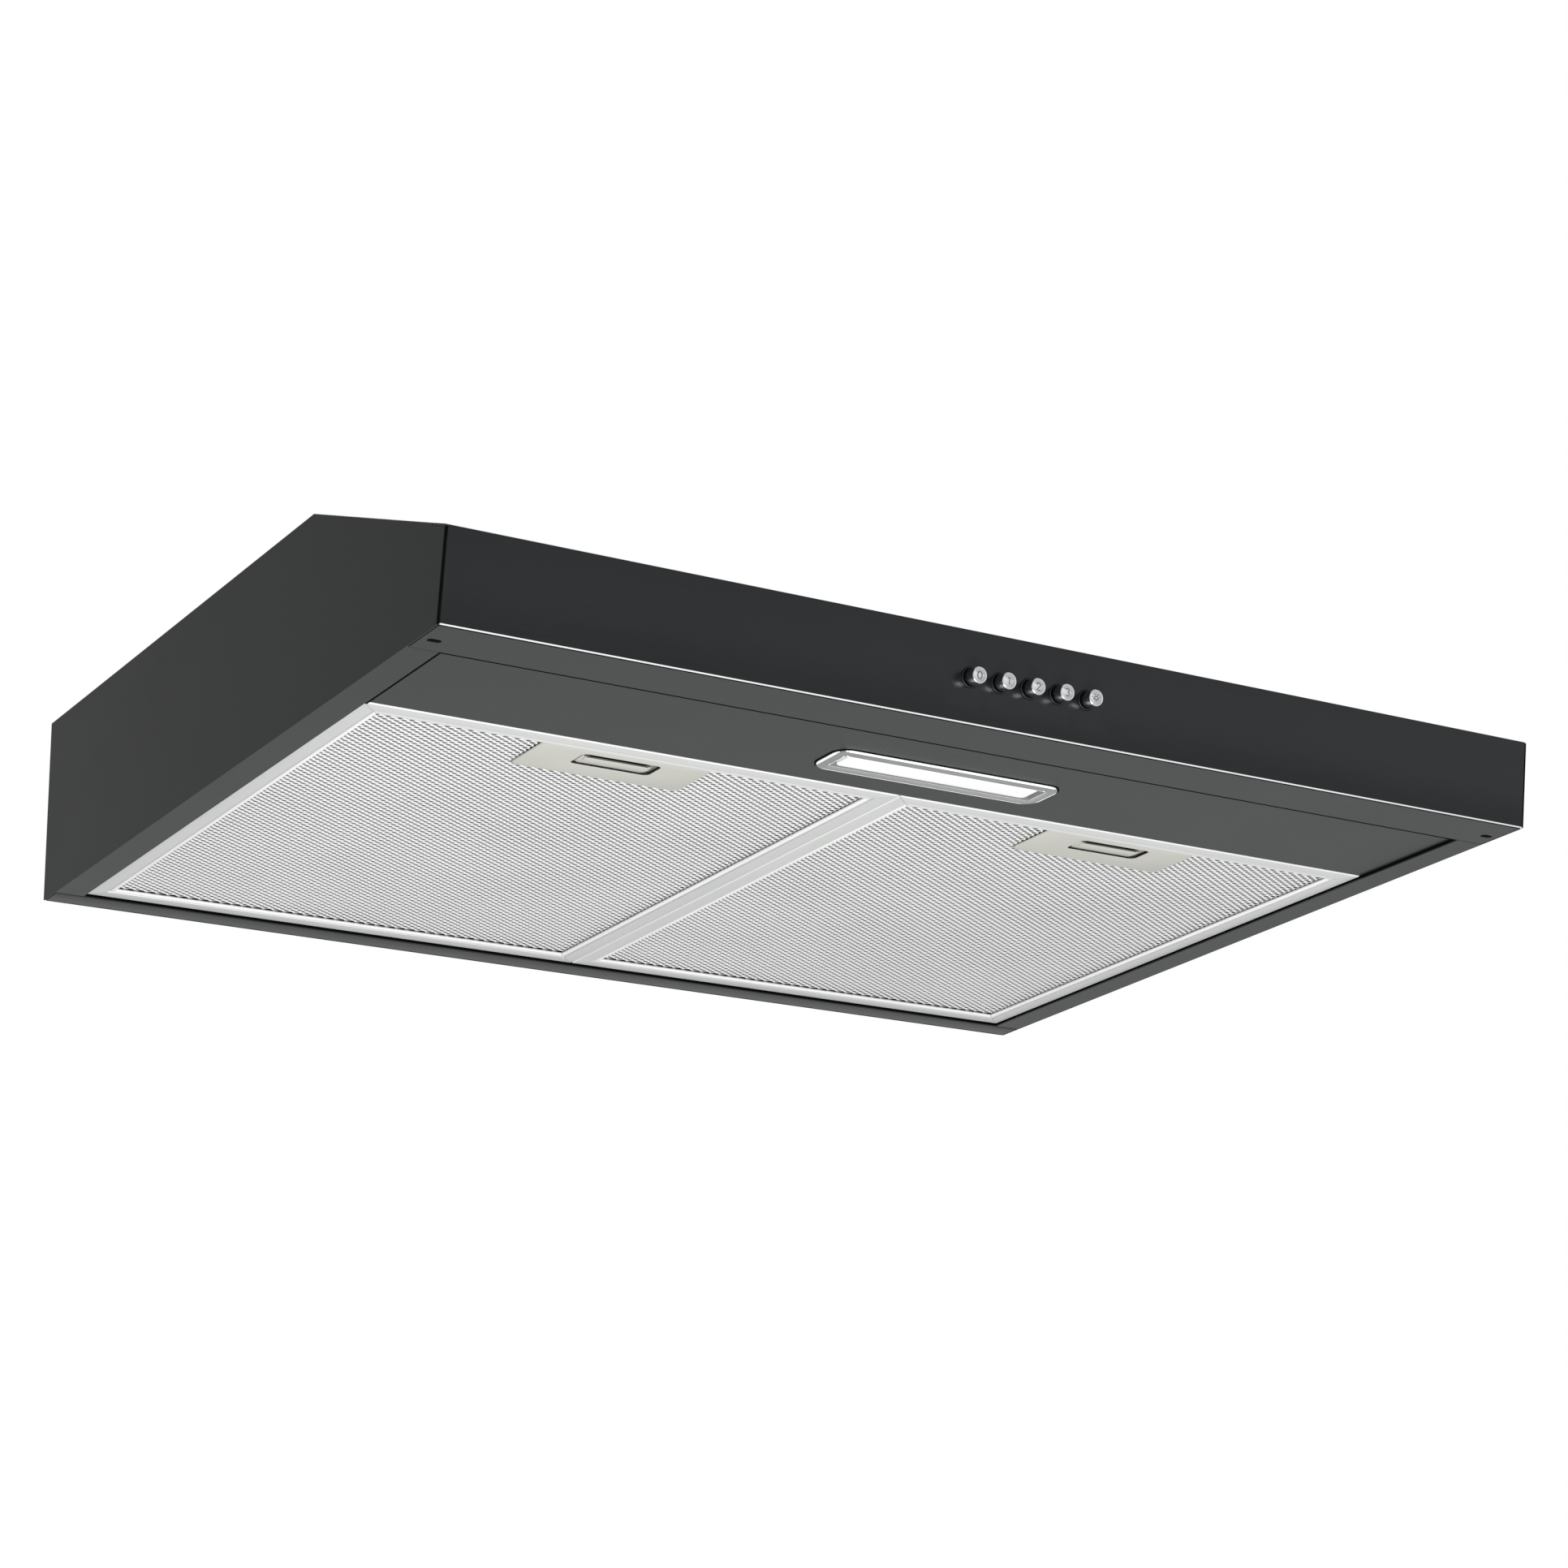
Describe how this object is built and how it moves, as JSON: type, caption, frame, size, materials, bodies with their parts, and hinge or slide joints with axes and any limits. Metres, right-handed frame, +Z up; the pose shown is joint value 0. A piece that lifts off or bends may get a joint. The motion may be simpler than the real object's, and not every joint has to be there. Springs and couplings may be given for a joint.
{
  "type": "under cabinet range hood",
  "caption": "Slim under cabinet range hood with leaning push-button fascia, sloped canopy, lamp panel, drop-down grease filters with latches, fan and flapped duct outlet.",
  "frame": {"origin": "point on the top panel's upper face, on the centre line, 205 mm behind the front bottom edge, where the hood meets the cabinet", "axes": "+X to the right seen from the front, +Y towards the wall, +Z up"},
  "size_m": [0.6, 0.4723, 0.1271],
  "materials": {
    "satin_dark_grey": "satin dark grey paint on steel sheet",
    "gloss_dark_grey": "smoother, glossier dark grey paint",
    "galvanised_sheet": "dull galvanised steel sheet",
    "brushed_aluminium": "mill finish aluminium channel",
    "expanded_aluminium": "expanded aluminium mesh",
    "latch_plastic": "light warm grey moulded plastic",
    "chrome": "bright chrome plating",
    "black_plastic": "black moulded plastic",
    "grey_plastic": "grey moulded plastic",
    "white_plastic": "off-white moulded plastic",
    "clear_grey_plastic": "translucent pale grey plastic",
    "frosted_diffuser": "frosted white diffuser",
    "circuit_board": "green circuit board with pale light chips",
    "steel": "bright steel",
    "motor_enamel": "dark enamel on a motor body"
  },
  "bodies": {
    "hood": {"back_panel": "satin_dark_grey", "button_bush_light": "black_plastic", "button_bush_off": "black_plastic", "button_bush_speed_1": "black_plastic", "button_bush_speed_2": "black_plastic", "button_bush_speed_3": "black_plastic", "cable_grommet": "black_plastic", "capacitor": "white_plastic", "duct_collar": "black_plastic", "fan_casing": "galvanised_sheet", "fan_inlet_plate_left": "galvanised_sheet", "fan_inlet_plate_right": "galvanised_sheet", "fan_motor": "motor_enamel", "fan_screw_1": "steel", "fan_screw_2": "steel", "fan_screw_3": "steel", "fan_screw_4": "steel", "filter_catch_ledge": "galvanised_sheet", "flap_pin": "steel", "front_bottom_rim": "satin_dark_grey", "front_fascia": "gloss_dark_grey", "lamp_bezel": "clear_grey_plastic", "lamp_diffuser": "frosted_diffuser", "lamp_housing": "grey_plastic", "lamp_panel": "satin_dark_grey", "led_board": "circuit_board", "led_driver": "white_plastic", "left_side_panel": "satin_dark_grey", "motor_support_left": "galvanised_sheet", "motor_support_right": "galvanised_sheet", "rear_filter_rail": "satin_dark_grey", "right_side_panel": "satin_dark_grey", "slope_panel": "satin_dark_grey", "switch_bank": "black_plastic", "terminal_box": "black_plastic", "terminal_box_cover": "black_plastic", "top_panel": "satin_dark_grey"},
    "filter_left": {"filter_left_frame": "brushed_aluminium", "filter_left_lower_mesh": "expanded_aluminium", "filter_left_inner_layers": "expanded_aluminium", "filter_left_upper_mesh": "expanded_aluminium", "filter_left_latch_plate": "latch_plastic"},
    "latch_left": {"filter_left_latch_slider": "latch_plastic"},
    "filter_right": {"filter_right_frame": "brushed_aluminium", "filter_right_lower_mesh": "expanded_aluminium", "filter_right_inner_layers": "expanded_aluminium", "filter_right_upper_mesh": "expanded_aluminium", "filter_right_latch_plate": "latch_plastic"},
    "latch_right": {"filter_right_latch_slider": "latch_plastic"},
    "button_off": {"button_off": "chrome"},
    "button_speed_1": {"button_speed_1": "chrome"},
    "button_speed_2": {"button_speed_2": "chrome"},
    "button_speed_3": {"button_speed_3": "chrome"},
    "button_light": {"button_light": "chrome"},
    "fan_rotor": {"fan_shaft": "steel", "impeller_left": "black_plastic", "impeller_right": "black_plastic"},
    "flap_left": {"duct_flap_left": "grey_plastic"},
    "flap_right": {"duct_flap_right": "grey_plastic"}
  },
  "joints": [
    {"name": "filter_left_drop", "type": "hinge", "parent": "hood", "child": "filter_left", "pos_m": [-0.14185, 0.2383, -0.095], "axis": [1, 0, 0], "range_deg": [0, 75]},
    {"name": "filter_right_drop", "type": "hinge", "parent": "hood", "child": "filter_right", "pos_m": [0.14185, 0.2383, -0.095], "axis": [1, 0, 0], "range_deg": [0, 75]},
    {"name": "filter_left_latch_pull", "type": "slide", "parent": "filter_left", "child": "latch_left", "axis": [0, 1, 0], "range_m": [0, 0.004], "stiffness_N_per_m": 250, "springref_m": -0.004},
    {"name": "filter_right_latch_pull", "type": "slide", "parent": "filter_right", "child": "latch_right", "axis": [0, 1, 0], "range_m": [0, 0.004], "stiffness_N_per_m": 250, "springref_m": -0.004},
    {"name": "button_off_press", "type": "slide", "parent": "hood", "child": "button_off", "axis": [0, 0.9863, 0.1651], "range_m": [0, 0.003], "stiffness_N_per_m": 400, "springref_m": -0.002},
    {"name": "button_speed_1_press", "type": "slide", "parent": "hood", "child": "button_speed_1", "axis": [0, 0.9863, 0.1651], "range_m": [0, 0.003], "stiffness_N_per_m": 400, "springref_m": -0.002},
    {"name": "button_speed_2_press", "type": "slide", "parent": "hood", "child": "button_speed_2", "axis": [0, 0.9863, 0.1651], "range_m": [0, 0.003], "stiffness_N_per_m": 400, "springref_m": -0.002},
    {"name": "button_speed_3_press", "type": "slide", "parent": "hood", "child": "button_speed_3", "axis": [0, 0.9863, 0.1651], "range_m": [0, 0.003], "stiffness_N_per_m": 400, "springref_m": -0.002},
    {"name": "button_light_press", "type": "slide", "parent": "hood", "child": "button_light", "axis": [0, 0.9863, 0.1651], "range_m": [0, 0.003], "stiffness_N_per_m": 400, "springref_m": -0.002},
    {"name": "fan_spin", "type": "hinge", "parent": "hood", "child": "fan_rotor", "pos_m": [0, 0.14, -0.043], "axis": [1, 0, 0], "continuous": true},
    {"name": "flap_left_open", "type": "hinge", "parent": "hood", "child": "flap_left", "pos_m": [0, 0.14, 0.011], "axis": [0, 1, 0], "range_deg": [0, 75]},
    {"name": "flap_right_open", "type": "hinge", "parent": "hood", "child": "flap_right", "pos_m": [0, 0.14, 0.011], "axis": [0, -1, 0], "range_deg": [0, 75]}
  ]
}
